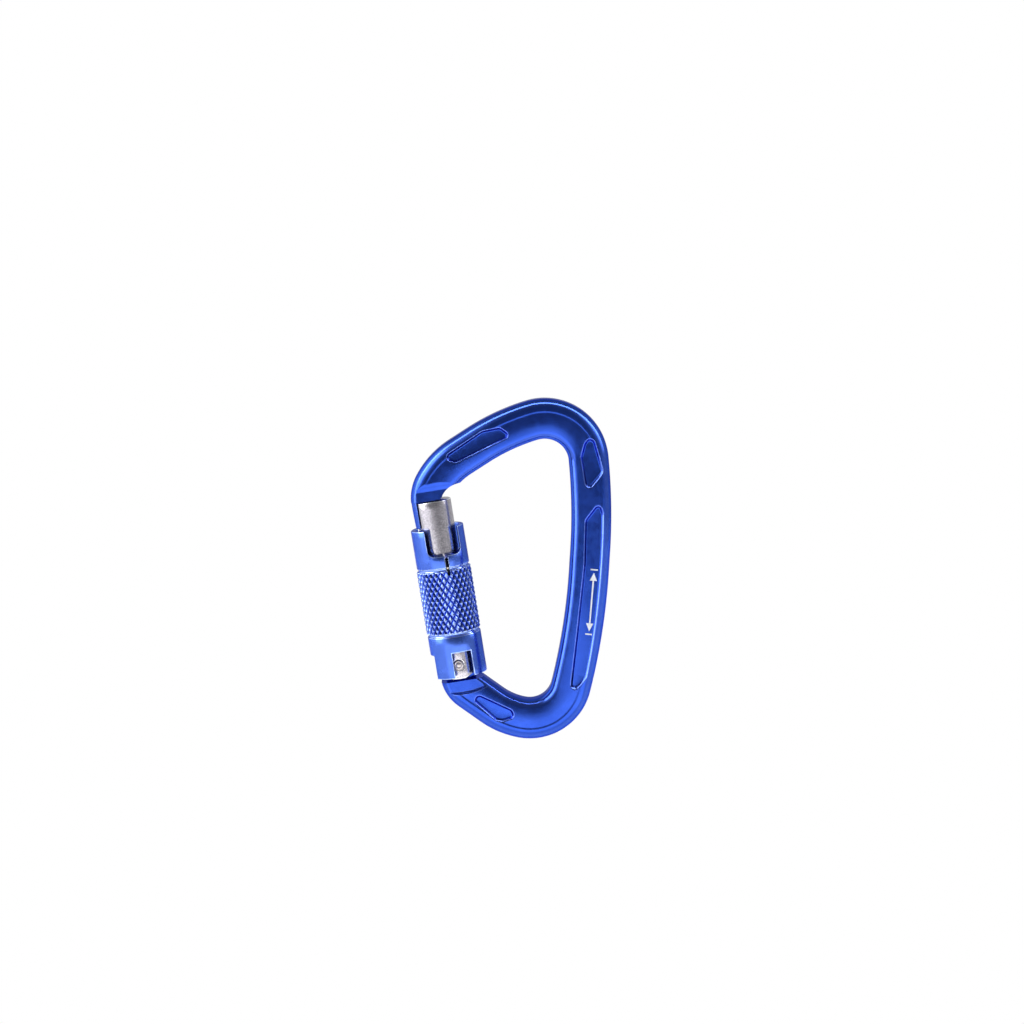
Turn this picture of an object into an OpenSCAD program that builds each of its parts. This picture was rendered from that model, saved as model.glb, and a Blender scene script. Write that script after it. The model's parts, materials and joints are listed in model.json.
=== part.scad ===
// Auto-locking carabiner: a forged offset-D body, a sprung gate on a rivet and a twisting
// locking sleeve that a guide pin leads along the gate.
// The carabiner lies in the XZ plane, its front faces -Y and +X points to the spine.
// The origin is the inner apex of the top basket, where the sling or anchor rests.

/* [Body] */
// Width of the forged bar in the plane of the carabiner
bar_width = 11.8; // [11:0.1:12.5]
// Thickness of the forged bar from front to back
bar_thickness = 11; // [10.6:0.1:12]
// Rounding of the four long edges of the bar
bar_rounding = 2.6; // [1.5:0.1:3.5]
// Depth of the lightening pockets on each face
pocket_depth = 0.9; // [0.3:0.1:1.5]

/* [Gate] */
// Diameter of the round gate
gate_diameter = 10.8; // [10.6:0.1:11]
// Length of the gate from the rivet to its top
gate_length = 49.2; // [49:0.1:49.3]
// Lean of the gate away from the upright, top towards the outside
gate_lean = 9; // [8.8:0.1:9.2]
// How far the gate swings into the opening
gate_swing = 24; // [10:1:24]
// Diameter of the rivet that the gate turns on
rivet_diameter = 3; // [2.5:0.1:3.2]

/* [Sleeve] */
// Outside diameter of the knurled grip
grip_diameter = 16.3; // [16:0.1:16.6]
// Diameter of the bore that slides on the collar and the bushing
sleeve_bore = 12.9; // [12.8:0.05:12.9]
// Turn between the middle of the front and the middle of the notch
notch_turn = 12; // [0:1:20]
// Width of the two notches that let the nose through
notch_width = 9.9; // [8:0.1:10.5]
// Width of the slit that the guide pin runs in
slit_width = 0.8; // [0.75:0.05:1]

/* [Hidden] */
$fn = 64;

// Middle line of the bar as [x, z, rounding], from the nose over the top and down the spine
bar_line = [
    [-33.3, -23.0, 0],
    [-34.4, -16.3, 8],
    [-30.4, -8.7, 22.5],
    [-12.7, 2.8, 62.5],
    [11.0, 10.0, 13],
    [13.9, -20.0, 175],
    [11.7, -57.2, 193],
    [4.6, -86.0, 12.6],
    [-12.0, -82.8, 22.5],
    [-25.0, -73.5, 6.6],
    [-26.5, -64.0, 0]
];
ring_turn = 6;      // most degrees of bend between two rings of the bar
ring_step = 6;      // and most millimetres
edge_points = 5;    // steps round each long edge

// The gate's own frame: its origin is on the rivet and its +Z runs up the gate
pivot = [-25.9, 0, -67];
gate_r = gate_diameter / 2;
gate_foot = -4.3;
neck_top = -5;
neck_foot = -7.1;
neck_half = 4.9;
nose_foot = gate_length + 0.4;
nose_neck_top = 54;
slot_half = 2.6;
tongue_half = 2.4;
tongue_r = 4.4;
cam_rise = 2;       // millimetres of plunger lift for each radian of swing
slot_top = 7.6;
plunger_r = 2;
plunger_bore_r = 2.06;
plunger_bore_top = 24;
plunger_top = 16;
ball_r = 1.2;
ball_gap = 0.3;
finger_half = 2;
finger_slot_half = 2.3;
finger_slot_foot = 41.2;
finger_slot_side = -2.6;

// Heights on the gate of the rings along the sleeve
tine_top = 41.1;
notch_foot = 33.2;
land_foot = 31.9;
groove_high = 29.4;
grip_top = 28.6;
grip_foot = 9.8;
groove_low = 9;
skirt_foot = -3.6;
cut_top = 3.4;
window_top = 4;
slit_foot = 27.1;
sleeve_r = sleeve_bore / 2;
grip_r = grip_diameter / 2;
upper_r = 7.85;
lower_r = 7.95;
groove_r = 7.45;
tine_r = 6.6;
land_r = 5.48;
window_width = 5.7;
skirt_to = 120;     // degrees round from the front to where the long half of the skirt ends

collar_foot = 27.2;
collar_top = 31.5;
collar_groove_r = 4.6;
collar_r = sleeve_r - 0.07;
pin_height = 29.5;
pin_r = 0.3;
bushing_foot = 5.5;
bushing_top = 9.5;

function unit(v) = v / norm(v);
function flat(i) = [bar_line[i][0], bar_line[i][1]];

// Arc that rounds corner i: [centre, radius, start angle, swept angle]
function corner_arc(i) =
    let (
        back = unit(flat(i - 1) - flat(i)),
        ahead = unit(flat(i + 1) - flat(i)),
        half = acos(back * ahead) / 2,
        r = bar_line[i][2],
        centre = flat(i) + unit(back + ahead) * r / sin(half),
        start = flat(i) + back * r / tan(half) - centre
    )
    [centre, r, atan2(start[1], start[0]), 2 * half - 180];

// Points of the middle line with the direction out of the carabiner at each: [x, z, outward angle]
function line_points() = concat(
    [end_point(0, 1)],
    [
        for (i = [1:len(bar_line) - 2])
            let (
                arc = corner_arc(i),
                length = abs(arc[3]) * arc[1] * PI / 180,
                steps = max(2, ceil(abs(arc[3]) / ring_turn), ceil(length / ring_step))
            )
            for (k = [0:steps])
                let (a = arc[2] + arc[3] * k / steps)
                [arc[0][0] + arc[1] * cos(a), arc[0][1] + arc[1] * sin(a), a]
    ],
    [end_point(len(bar_line) - 1, len(bar_line) - 2)]
);
function end_point(i, neighbour) =
    let (
        arc = corner_arc(neighbour),
        a = i == 0 ? arc[2] : arc[2] + arc[3]
    )
    [bar_line[i][0], bar_line[i][1], a];

// Rounded cross-section of the bar as [outward, front to back]
function section_points() = [
    for (q = [0:3], k = [0:edge_points])
        let (
            a = 90 * q + 90 * k / edge_points,
            side_x = (q == 0 || q == 3) ? 1 : -1,
            side_y = q < 2 ? 1 : -1
        )
        [
            side_x * (bar_width / 2 - bar_rounding) + bar_rounding * cos(a),
            side_y * (bar_thickness / 2 - bar_rounding) + bar_rounding * sin(a)
        ]
];

module bar() {
    rings = line_points();
    outline = section_points();
    n = len(outline);
    points = [
        for (p = rings, s = outline)
            [p[0] + s[0] * cos(p[2]), s[1], p[1] + s[0] * sin(p[2])]
    ];
    sides = [
        for (i = [0:len(rings) - 2], k = [0:n - 1])
            let (a = i * n + k, b = i * n + (k + 1) % n)
            each [[a, b, a + n], [b, b + n, a + n]]
    ];
    first = [for (k = [0:n - 1]) n - 1 - k];
    last = [for (k = [0:n - 1]) (len(rings) - 1) * n + k];
    polyhedron(points, concat([first], sides, [last]), convexity = 6);
}

// Places its children in the gate's frame
module on_gate() {
    translate(pivot) rotate([0, -gate_lean, 0]) children();
}

// A box given by its lowest and highest corners
module block(low, high) {
    translate(low) cube(high - low);
}

// A ring or a disc between two heights
module ring(foot, top, outer, inner = 0) {
    difference() {
        translate([0, 0, foot]) cylinder(r = outer, h = top - foot);
        if (inner > 0) {
            translate([0, 0, foot - 1]) cylinder(r = inner, h = top - foot + 2);
        }
    }
}

// A flat outline in the XZ plane, extruded to both sides
module plate(points, half) {
    rotate([90, 0, 0]) translate([0, 0, -half]) linear_extrude(2 * half) polygon(points);
}

// The forged pockets, each outline going round as [x, z]
module pocket_outlines() {
    nose_pocket = [
        [-29.6, -6.0], [-29.2, -4.2], [-19.0, 2.7], [-13.6, 3.8], [-11.1, 2.0], [-11.3, 0.6],
        [-26.7, -6.9]
    ];
    shoulder_pocket = [
        [12.5, 0.9], [14.3, -0.3], [17.0, -9.6], [12.7, -14.9], [11.4, -13.3], [10.0, -5.1],
        [11.1, -1.0]
    ];
    spine_pocket = concat(
        [for (z = [-22:-7:-71]) [17 - pow(z + 21, 2) / 512, z]],
        [
            [8.9, -74.6], [7.3, -73.9], [7.3, -72.5], [8.9, -58.4], [11.1, -37.1], [11.4, -23.8],
            [14.6, -19.5], [16.2, -19.5]
        ]
    );
    hinge_pocket = [
        [-21.3, -78.2], [-20.9, -76.5], [-19.6, -76.0], [-10.0, -80.5], [-9.3, -82.0],
        [-9.8, -83.2], [-12.7, -84.2], [-14.9, -83.8]
    ];
    for (outline = [nose_pocket, shoulder_pocket, spine_pocket, hinge_pocket]) {
        polygon(outline);
    }
}

// What the cutters take away at the nose and at the hinge end
module machined_ends() {
    far = 20;
    arc_centre = [8.5, 47.2];
    arc_r = 6.2;
    on_gate() {
        block([-far, -far, 0], [9, far, nose_foot]);
        block([-far, -far, neck_top], [8.5, far, 1]);
        for (side = [0, 1]) {
            mirror([0, side, 0]) {
                block([-far, neck_half, neck_foot], [7.6, far, 1]);
                block([-far, neck_half, nose_foot - 1], [6, far, nose_neck_top]);
            }
        }
        translate([arc_centre[0], far, arc_centre[1]]) rotate([90, 0, 0]) {
            cylinder(r = arc_r, h = 2 * far);
        }
        block([2.6, -far, nose_foot - 1], [arc_centre[0], far, nose_foot + 0.4]);
    }
}

// Blade that reaches from the nose down into the gate's top slot
module nose_finger() {
    on_gate() {
        plate(
            [[-6.4, nose_foot + 1], [-3, nose_foot + 1], [-3, 42.7], [-5.95, 41.95]],
            finger_half
        );
    }
}

// Tongue inside the gate, with the spiral cam that lifts the plunger as the gate swings in
module hinge_tongue() {
    cam_from = -20;
    cam_to = 40;
    cam = [
        for (a = [cam_from:4:cam_to])
            let (r = tongue_r + cam_rise * a * PI / 180)
            [r * sin(a), r * cos(a)]
    ];
    flanks = [[4.4, 0], [4.4, neck_foot], [-4.4, neck_foot], [-4.4, 0]];
    on_gate() plate(concat(cam, flanks), tongue_half);
}

// Everything of the body but the rivet's bore. The resize keeps every size and makes one mesh of it.
module forging() {
    resize([0, 0, 0]) union() {
        difference() {
            bar();
            machined_ends();
            for (side = [-1, 1]) {
                translate([0, side * (bar_thickness / 2 + 1), 0]) rotate([90, 0, 0]) {
                    translate([0, 0, -pocket_depth - 1]) {
                        linear_extrude(2 * pocket_depth + 2) pocket_outlines();
                    }
                }
            }
        }
        nose_finger();
        hinge_tongue();
    }
}

module body() {
    color("mediumblue") difference() {
        forging();
        on_gate() rotate([90, 0, 0]) {
            translate([0, 0, -10]) cylinder(d = rivet_diameter + 0.1, h = 20);
        }
    }
}

// Round solid that turns about the gate's middle line
module turned(points) {
    rotate_extrude() polygon(points);
}

module gate() {
    edge = 0.4;
    bevel_from = 1.65;
    color("silver") on_gate() difference() {
        turned([
            [0, gate_foot], [gate_r, gate_foot], [gate_r, collar_foot - 0.2],
            [collar_groove_r, collar_foot - 0.2], [collar_groove_r, collar_top + 0.2],
            [gate_r, collar_top + 0.2], [gate_r, gate_length - edge],
            [gate_r - edge, gate_length], [0, gate_length]
        ]);
        block([-10, -slot_half, gate_foot - 1], [10, slot_half, slot_top]);
        block([-10, -finger_slot_half, finger_slot_foot], [finger_slot_side, finger_slot_half, 60]);
        translate([0, 0, slot_top - 1]) cylinder(r = plunger_bore_r, h = plunger_bore_top - slot_top + 1);
        translate([bevel_from, -10, gate_foot]) rotate([0, -gate_swing, 0]) {
            translate([0, 0, -10]) cube([20, 20, 10]);
        }
        rotate([90, 0, 0]) translate([0, 0, -10]) cylinder(d = rivet_diameter, h = 20);
    }
}

module gate_rivet() {
    rivet_r = rivet_diameter / 2;
    head = gate_r + 0.35;
    color("gainsboro") on_gate() rotate([90, 0, 0]) turned([
        [0, -head], [rivet_r - 0.35, -head], [rivet_r, -head + 0.25],
        [rivet_r, head - 0.25], [rivet_r - 0.35, head], [0, head]
    ]);
}

// Plunger whose round nose follows the cam on the tongue
module gate_plunger() {
    nose = tongue_r + ball_gap + ball_r;
    color("lightsteelblue") on_gate() {
        translate([0, 0, nose]) sphere(r = ball_r);
        turned([
            [0, nose], [ball_r * cos(20), nose - ball_r * sin(20) + 0.02],
            [plunger_r, slot_top + 0.7], [plunger_r, plunger_top], [0, plunger_top]
        ]);
    }
}

// Helical coil as [radius of its middle line, wire diameter, foot, top, turns]
module coil(mean_r, wire, foot, top, turns) {
    steps = 14;
    sides = 6;
    rings = turns * steps;
    rise = top - foot - wire;
    points = [
        for (i = [0:rings])
            let (a = 360 * i / steps, z = foot + wire / 2 + rise * i / rings)
            for (k = [0:sides - 1])
                let (r = mean_r + wire / 2 * cos(360 * k / sides))
                [r * cos(a), r * sin(a), z + wire / 2 * sin(360 * k / sides)]
    ];
    faces = [
        for (i = [0:rings - 1], k = [0:sides - 1])
            let (a = i * sides + k, b = i * sides + (k + 1) % sides)
            each [[a, b, a + sides], [b, b + sides, a + sides]]
    ];
    first = [for (k = [0:sides - 1]) sides - 1 - k];
    last = [for (k = [0:sides - 1]) rings * sides + k];
    polyhedron(points, concat([first], faces, [last]), convexity = 10);
}

module gate_spring() {
    color("gray") on_gate() coil(1.5, 0.5, plunger_top + 0.05, plunger_bore_top - 0.05, 6);
}

// Two opposite cuts as wide as the notch, with round bottom corners
module sleeve_notches() {
    corner = 1.8;
    half = notch_width / 2;
    rotate([0, 0, notch_turn]) {
        for (x = [-1, 1]) {
            translate([x * (half - corner), 0, notch_foot + corner]) rotate([90, 0, 0]) {
                cylinder(r = corner, h = 20, center = true);
            }
        }
        block([-half + corner, -10, notch_foot], [half - corner, 10, tine_top + 1]);
        block([-half, -10, notch_foot + corner], [half, 10, tine_top + 1]);
    }
}

// The half of the skirt that is cut short, so that it passes the body when the sleeve is turned
module skirt_cut() {
    wedge_foot = skirt_foot - 1;
    for (a = [0, 90]) {
        rotate([0, 0, skirt_to - 90 + a]) block([0, 0, wedge_foot], [12, 12, cut_top]);
    }
}

module sleeve() {
    edge = 0.35;
    color("royalblue") on_gate() difference() {
        turned([
            [sleeve_r, skirt_foot], [lower_r, skirt_foot], [lower_r, groove_low - edge],
            [lower_r - edge, groove_low], [groove_r, groove_low], [groove_r, grip_foot],
            [grip_r - edge, grip_foot], [grip_r, grip_foot + edge], [grip_r, grip_top - edge],
            [grip_r - edge, grip_top], [groove_r, grip_top], [groove_r, groove_high],
            [upper_r - edge, groove_high], [upper_r, groove_high + edge],
            [upper_r, tine_top - edge], [upper_r - edge, tine_top], [tine_r, tine_top],
            [tine_r, notch_foot], [land_r, notch_foot], [land_r, land_foot],
            [sleeve_r, land_foot]
        ]);
        sleeve_notches();
        skirt_cut();
        rotate([0, 0, notch_turn]) {
            block([-slit_width / 2, -12, slit_foot], [slit_width / 2, 0, notch_foot + 1]);
            block([-window_width / 2, -12, skirt_foot - 1], [window_width / 2, 0, window_top]);
        }
    }
}

// Guide ring pressed into the foot of the sleeve, which the spring stands on
module sleeve_bushing() {
    color("goldenrod") on_gate() ring(bushing_foot, bushing_top, sleeve_r, land_r);
}

// Split ring that turns in the gate's groove and carries the guide pin
module guide_collar() {
    split = 2;
    color("slategray") on_gate() difference() {
        ring(collar_foot, collar_top, collar_r, collar_groove_r + 0.07);
        rotate([0, 0, notch_turn]) {
            block([-split / 2, 0, collar_foot - 1], [split / 2, 12, collar_top + 1]);
            translate([0, 0, pin_height]) rotate([90, 0, 0]) cylinder(r = pin_r, h = 12);
        }
    }
}

module guide_pin() {
    color("wheat") on_gate() rotate([0, 0, notch_turn]) {
        translate([0, -collar_groove_r - 0.4, pin_height]) rotate([90, 0, 0]) {
            cylinder(r = pin_r, h = grip_r - collar_groove_r - 0.9);
        }
    }
}

// Spring that turns the sleeve back to its lock and presses it down
module sleeve_spring() {
    color("dimgray") on_gate() coil(5.95, 0.75, bushing_top + 0.05, collar_foot - 0.3, 6);
}

body();
gate();
gate_rivet();
gate_plunger();
gate_spring();
sleeve();
sleeve_bushing();
guide_collar();
guide_pin();
sleeve_spring();
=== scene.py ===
"""Looks of a blue auto-locking carabiner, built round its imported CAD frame."""

import json
import math

import bmesh
import bpy
import numpy as np
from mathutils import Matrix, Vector
from mathutils.geometry import delaunay_2d_cdt


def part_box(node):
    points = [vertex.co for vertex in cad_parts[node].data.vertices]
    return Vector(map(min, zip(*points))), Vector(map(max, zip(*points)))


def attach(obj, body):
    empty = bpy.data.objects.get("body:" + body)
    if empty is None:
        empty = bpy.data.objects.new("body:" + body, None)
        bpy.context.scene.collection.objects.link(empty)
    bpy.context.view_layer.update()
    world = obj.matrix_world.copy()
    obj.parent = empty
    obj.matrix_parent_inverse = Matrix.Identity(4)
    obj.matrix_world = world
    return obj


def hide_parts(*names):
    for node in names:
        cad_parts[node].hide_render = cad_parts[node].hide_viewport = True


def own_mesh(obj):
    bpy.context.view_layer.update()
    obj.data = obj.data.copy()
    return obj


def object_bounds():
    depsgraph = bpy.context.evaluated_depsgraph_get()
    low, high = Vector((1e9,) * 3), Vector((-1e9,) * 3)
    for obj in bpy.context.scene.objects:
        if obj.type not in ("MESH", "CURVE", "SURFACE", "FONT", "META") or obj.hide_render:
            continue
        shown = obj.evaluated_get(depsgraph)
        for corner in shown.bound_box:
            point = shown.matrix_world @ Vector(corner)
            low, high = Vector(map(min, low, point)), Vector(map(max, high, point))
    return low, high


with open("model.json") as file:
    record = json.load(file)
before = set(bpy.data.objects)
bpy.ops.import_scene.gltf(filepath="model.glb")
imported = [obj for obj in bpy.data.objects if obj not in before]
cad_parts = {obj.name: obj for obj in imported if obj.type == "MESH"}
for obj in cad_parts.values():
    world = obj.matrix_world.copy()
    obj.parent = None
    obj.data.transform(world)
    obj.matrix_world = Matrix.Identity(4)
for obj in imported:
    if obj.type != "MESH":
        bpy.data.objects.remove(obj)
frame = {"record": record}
cad_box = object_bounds()

MM = 0.001  # every shape below is worked out in millimetres
ON_AXIS = 1e-6  # a radius below this is a single point on the axis
CHUNK = 2000  # points handled at a time where every point meets every other
CIRCLE_STEPS = 72
ARC_STEP = 0.2  # radians, the most that one step of a rounded corner turns

# ---------------- the gate's frame

joints = {j["name"]: j for j in frame["record"]["behaviour"]["joints"]}
PIVOT = np.array(joints["gate_hinge"]["pos_m"]) / MM
UP = np.array(joints["sleeve_twist"]["axis"])
ACROSS = np.array([UP[2], 0.0, -UP[0]])
FRONT = np.array([0.0, -1.0, 0.0])


def from_gate(u, y, w):
    """Points given across, front to back and up the gate, in the row frame."""
    u, y, w = np.broadcast_arrays(*(np.asarray(value, float) for value in (u, y, w)))
    return PIVOT + u[..., None] * ACROSS - y[..., None] * FRONT + w[..., None] * UP


def to_gate(x, z):
    """How far across and up the gate the points (x, z) of the carabiner's plane are."""
    dx, dz = np.asarray(x) - PIVOT[0], np.asarray(z) - PIVOT[2]
    return dx * ACROSS[0] + dz * ACROSS[2], dx * UP[0] + dz * UP[2]


def lifted(xz, y):
    """Points (x, z) of the carabiner's plane, moved to y from front to back."""
    return np.stack([xz[:, 0], np.broadcast_to(y, len(xz)), xz[:, 1]], axis=1)


def from_front(u, w, y):
    """As from_gate, for an outline drawn as it is seen from the front."""
    return from_gate(u, y, w)


def flat_from_gate(u, w):
    """The point (x, z) of the carabiner's plane at u across and w up the gate."""
    p = from_gate(u, 0.0, w)
    return np.stack([p[..., 0], p[..., 2]], axis=-1)


# ---------------- plane geometry


def unit(v):
    v = np.asarray(v, float)
    return v / np.linalg.norm(v, axis=-1, keepdims=True)


def rounded_line(corners, step=0.5, closed=False, limited=False):
    """Points along corners [a, b, radius], each corner rounded, and the unit normals on their left.
    limited makes a radius smaller where its corner has no room for it."""
    p = np.array([c[:2] for c in corners], float)
    count = len(corners)
    rows = []
    for i in range(count):
        if not closed and i in (0, count - 1):
            rows.append((p[i : i + 1], None))
            continue
        a, b = unit(p[i] - p[i - 1]), unit(p[(i + 1) % count] - p[i])
        turn = math.atan2(a[0] * b[1] - a[1] * b[0], float(a @ b))
        radius = corners[i][2]
        if limited:
            room = min(np.linalg.norm(p[i] - p[i - 1]), np.linalg.norm(p[(i + 1) % count] - p[i]))
            radius = min(radius, 0.48 * room / max(math.tan(abs(turn) / 2), 1e-9))
        left = np.array([-a[1], a[0]])
        centre = p[i] - a * radius * math.tan(abs(turn) / 2) + left * math.copysign(radius, turn)
        pieces = max(1, math.ceil(abs(turn) * radius / step), math.ceil(abs(turn) / ARC_STEP))
        angles = turn * np.arange(pieces + 1) / pieces
        c, s = np.cos(angles)[:, None], np.sin(angles)[:, None]
        n = c * left - s * a
        rows.append((centre - n * math.copysign(radius, turn), n))
    if not closed:
        rows[0] = (rows[0][0], rows[1][1][:1])
        rows[-1] = (rows[-1][0], rows[-2][1][-1:])
    points, lefts = (np.concatenate([row[k] for row in rows]) for k in (0, 1))
    return fill_in(points, lefts, step, closed)


def fill_in(points, lefts, step, closed):
    """The same line and normals without points that go back or crowd, and with others filled in
    so that no two neighbours are further apart than step."""
    kept = [0]
    for i in range(1, len(points)):
        forward = np.array([lefts[i][1], -lefts[i][0]])
        if (points[i] - points[kept[-1]]) @ forward > 0.05 * min(step, 1):
            kept.append(i)
    points, lefts = points[kept], lefts[kept]
    out, out_lefts = [], []
    for i in range(len(points) if closed else len(points) - 1):
        k = (i + 1) % len(points)
        share = np.arange(max(1, math.ceil(np.linalg.norm(points[k] - points[i]) / step - 1e-6)))
        share = share[:, None] / len(share)
        out.append(points[i] + (points[k] - points[i]) * share)
        out_lefts.append(unit(lefts[i] + (lefts[k] - lefts[i]) * share))
    if not closed:
        out.append(points[-1:])
        out_lefts.append(lefts[-1:])
    return np.concatenate(out), np.concatenate(out_lefts)


def distance_to(points, line, closed=False):
    """Distance from each point to a polyline."""
    a = line
    b = np.roll(line, -1, axis=0) if closed else line[1:]
    a = a[: len(b)]
    d = b - a
    best = np.full(len(points), np.inf)
    for k in range(0, len(points), CHUNK):
        q = points[k : k + CHUNK, None] - a[None]
        t = np.clip((q * d).sum(2) / ((d * d).sum(1) + 1e-12), 0, 1)
        best[k : k + CHUNK] = np.sqrt(((q - t[..., None] * d) ** 2).sum(2).min(1))
    return best


def inside(points, loop):
    """Which points are inside a closed polyline."""
    a, b = loop, np.roll(loop, -1, axis=0)
    result = np.zeros(len(points), bool)
    for k in range(0, len(points), CHUNK):
        x, z = points[k : k + CHUNK, 0, None], points[k : k + CHUNK, 1, None]
        crosses = (a[:, 1] > z) != (b[:, 1] > z)
        with np.errstate(divide="ignore", invalid="ignore"):
            at = a[:, 0] + (z - a[:, 1]) * (b[:, 0] - a[:, 0]) / (b[:, 1] - a[:, 1])
        result[k : k + CHUNK] = (crosses & (x < at)).sum(1) % 2 == 1
    return result


def triangulate(points, border, fixed_edges):
    """Triangles over the points inside border, a loop of point numbers. Its edges stay edges, as
    do the pairs of point numbers in fixed_edges."""
    edges = [(int(a), int(b)) for a, b in [*zip(border, np.roll(border, -1)), *fixed_edges]]
    _, _, faces, origin, _, _ = delaunay_2d_cdt(
        [Vector((float(x), float(z))) for x, z in points], edges, [], 0, 1e-7
    )
    number = [o[0] if o else -1 for o in origin]
    tris = np.array([[number[i] for i in f] for f in faces])
    tris = tris[(tris >= 0).all(1)]
    tris = tris[inside(points[tris].mean(1), points[border])]
    a, b, c = (points[tris[:, k]] for k in range(3))
    turn = (b[:, 0] - a[:, 0]) * (c[:, 1] - a[:, 1]) - (b[:, 1] - a[:, 1]) * (c[:, 0] - a[:, 0])
    tris[turn < 0] = tris[turn < 0][:, ::-1]
    return tris[np.abs(turn) > 1e-9]


def smooth(t):
    """Eases from 0 to 1."""
    t = np.clip(t, 0, 1)
    return t * t * (3 - 2 * t)


# ---------------- meshes

CREASE = 35.0  # degrees above which an edge stays hard
BODY_CREASE = 40.0  # and on the machined bar


class Shape:
    """Vertices in millimetres with faces, gathered piece by piece into one mesh."""

    def __init__(self):
        self.points, self.faces, self.slots, self.wear_and_highlight = [], [], [], []
        self.count = 0

    def add(self, points, wear_and_highlight=0.0):
        """Adds vertices and returns their numbers."""
        points = np.asarray(points, float).reshape(-1, 3)
        self.points.append(points)
        self.wear_and_highlight.append(np.broadcast_to(np.asarray(wear_and_highlight, float), len(points)))
        first = self.count
        self.count += len(points)
        return np.arange(first, self.count)

    def face(self, numbers, slot=0):
        self.faces.append([int(n) for n in numbers])
        self.slots.append(slot)

    def strip(self, one, other, closed=False):
        """Quads between two rows of vertices of the same length."""
        for k in range(len(one) if closed else len(one) - 1):
            n = (k + 1) % len(one)
            self.face([one[k], one[n], other[n], other[k]])

    def tube(self, rows, turned=False):
        """Joins closed rows of vertices one to the next and caps both ends."""
        for one, other in zip(rows, rows[1:]):
            self.strip(one, other, closed=True)
        order = -1 if turned else 1
        self.face(rows[0][::order])
        self.face(rows[-1][::-order])

    def object(self, name, materials, crease=CREASE):
        mesh = bpy.data.meshes.new(name)
        points = np.concatenate(self.points) * MM
        mesh.from_pydata(points.tolist(), [], self.faces)
        for m in materials:
            mesh.materials.append(m)
        mesh.polygons.foreach_set("material_index", self.slots)
        # a value per vertex: real edge wear, and painted highlight on pocket walls, step lines and
        # knurl tips
        layer = mesh.attributes.new("wear_and_highlight", "FLOAT", "POINT")
        layer.data.foreach_set("value", np.concatenate(self.wear_and_highlight))
        mesh.validate()
        obj = new_object(name, mesh)
        clean(obj)
        shade_smooth(mesh, crease)
        return obj


def new_object(name, data):
    obj = bpy.data.objects.new(name, data)
    bpy.context.scene.collection.objects.link(obj)
    return obj


def shade_smooth(mesh, crease):
    """Smooth shading, with the edges sharper than crease degrees left hard."""
    mesh.polygons.foreach_set("use_smooth", [True] * len(mesh.polygons))
    mesh.set_sharp_from_angle(angle=math.radians(crease))
    mesh.update()


def clean(obj):
    """Joins vertices that lie in one place and turns every face outwards."""
    b = bmesh.new()
    b.from_mesh(obj.data)
    bmesh.ops.remove_doubles(b, verts=b.verts, dist=1e-7)
    bmesh.ops.dissolve_degenerate(b, edges=b.edges, dist=1e-9)
    bmesh.ops.recalc_face_normals(b, faces=b.faces)
    b.to_mesh(obj.data)
    b.free()


def about_gate(radius, turns, w):
    """Points round the gate's middle line, w up it."""
    return from_gate(radius * np.sin(turns), -radius * np.cos(turns), w)


def about_rivet(radius, turns, y):
    """Points round the rivet's line, y from front to back."""
    return from_gate(radius * np.cos(turns), y, radius * np.sin(turns))


def lathe(profile, steps=96, place=about_gate):
    """Solid turned from an outline of [radius, height] about the line that place goes round."""
    shape = Shape()
    turns = 2 * math.pi * np.arange(steps) / steps
    rows = []
    for radius, height in profile:
        if radius < ON_AXIS:
            rows.append(np.repeat(shape.add(place(0.0, turns[:1], height)), steps))
        else:
            rows.append(shape.add(place(radius, turns, height)))
    for one, other in zip(rows, rows[1:] + rows[:1]):
        for k in range(steps):
            n = (k + 1) % steps
            ring = list(dict.fromkeys((one[k], one[n], other[n], other[k])))
            if len(ring) > 2:
                shape.face(ring)
    return shape


# ---------------- solids cut and bevelled


def prism(outline, low, high, place=from_front):
    """A closed solid from an outline, running from low to high. place turns the outline's two
    numbers and a third one between low and high into points."""
    shape = Shape()
    outline = np.array(outline, float)
    ends = [shape.add(place(outline[:, 0], outline[:, 1], end)) for end in (low, high)]
    shape.tube(ends, turned=True)
    return shape


def box_outline(a0, b0, a1, b1, radius=0.0):
    """A rectangle, with rounded corners if radius is given."""
    corners = [(a0, b0), (a1, b0), (a1, b1), (a0, b1)]
    if not radius:
        return corners
    return rounded_line([(a, b, radius) for a, b in corners], closed=True)[0]


def cut(obj, cutters):
    """Takes the cutter shapes away from a solid."""
    for shape in cutters:
        cutter = shape.object("cutter", [])
        modifier = obj.modifiers.new("cut", "BOOLEAN")
        modifier.operation = "DIFFERENCE"
        modifier.solver = "EXACT"
        modifier.object = cutter
        bpy.context.view_layer.update()
        evaluated = obj.evaluated_get(bpy.context.evaluated_depsgraph_get())
        result = bpy.data.meshes.new_from_object(evaluated)
        obj.modifiers.clear()
        obj.data = result
        bpy.data.objects.remove(cutter)
    return obj


SHARPEST = 38.0  # degrees above which an edge is bevelled
WELD, WIDE_WELD = 2e-6, 3e-5  # metres within which vertices are joined before a bevel


def in_order(b):
    """Numbers vertices and faces by where they lie: a bevel makes them in no fixed order."""
    for i, v in enumerate(sorted(b.verts, key=lambda v: tuple(v.co))):
        v.index = i
    b.verts.sort()
    for i, f in enumerate(sorted(b.faces, key=lambda f: sorted(v.index for v in f.verts))):
        f.index = i
    b.faces.sort()


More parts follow.
